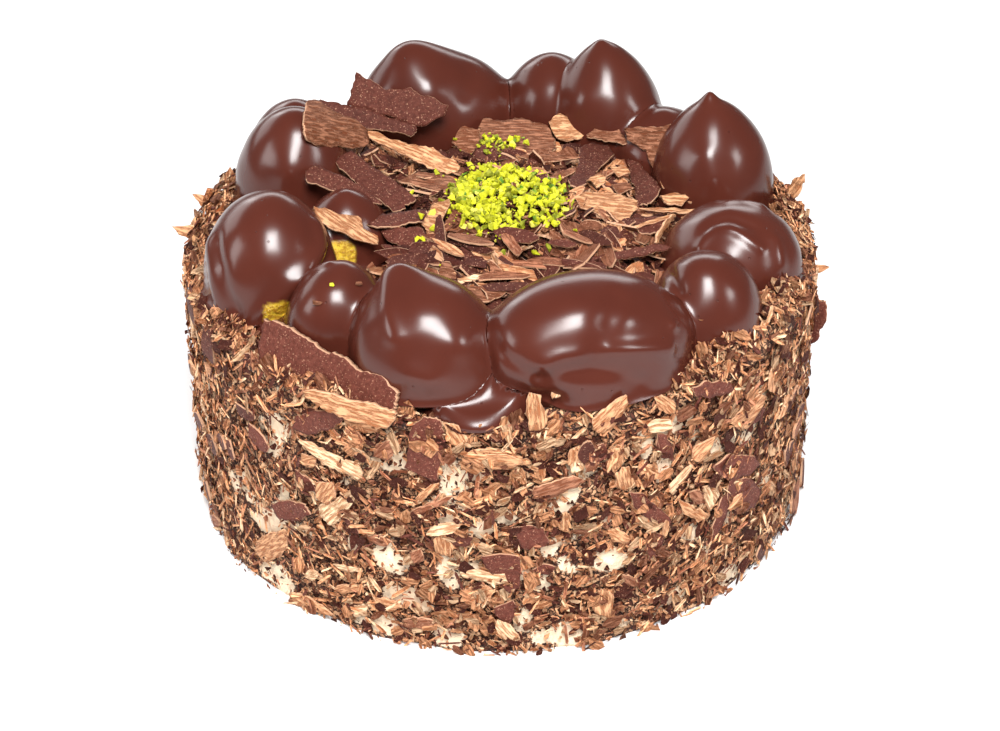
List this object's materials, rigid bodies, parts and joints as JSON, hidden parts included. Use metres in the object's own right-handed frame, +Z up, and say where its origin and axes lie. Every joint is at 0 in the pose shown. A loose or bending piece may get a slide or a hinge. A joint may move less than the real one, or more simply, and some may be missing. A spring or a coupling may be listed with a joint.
{
  "type": "profiterole cake",
  "caption": "Round cream cake with shavings on its side and a ring of glazed choux puffs round a heap of shavings and chopped pistachio.",
  "frame": {"origin": "middle of the flat base", "axes": "+Z up out of the base, +Y towards the back of the cake, +X to the right seen from the front"},
  "size_m": [0.211, 0.2097, 0.1262],
  "materials": {
    "side_shavings": "matte milk and dark chocolate shavings over whipped cream",
    "glaze": "glossy dark chocolate glaze",
    "heap_shavings": "matte chocolate shavings, plates and curls",
    "dark_plate": "speckled satin dark chocolate",
    "tan_plate": "fibrous matte milk chocolate",
    "pistachio": "chopped pistachio, slightly oily"
  },
  "bodies": {
    "root": {"cake_body": "side_shavings", "chocolate_glaze": "glaze", "profiterole_01": "glaze", "profiterole_02": "glaze", "profiterole_03": "glaze", "profiterole_04": "glaze", "profiterole_05": "glaze", "profiterole_06": "glaze", "profiterole_07": "glaze", "profiterole_08": "glaze", "profiterole_09": "glaze", "profiterole_10": "glaze", "profiterole_11": "glaze", "profiterole_12": "glaze", "profiterole_13": "glaze", "profiterole_14": "glaze", "shaving_heap": "heap_shavings", "pistachio_heap": "pistachio", "side_plate": "dark_plate", "side_plank": "tan_plate"}
  },
  "joints": []
}
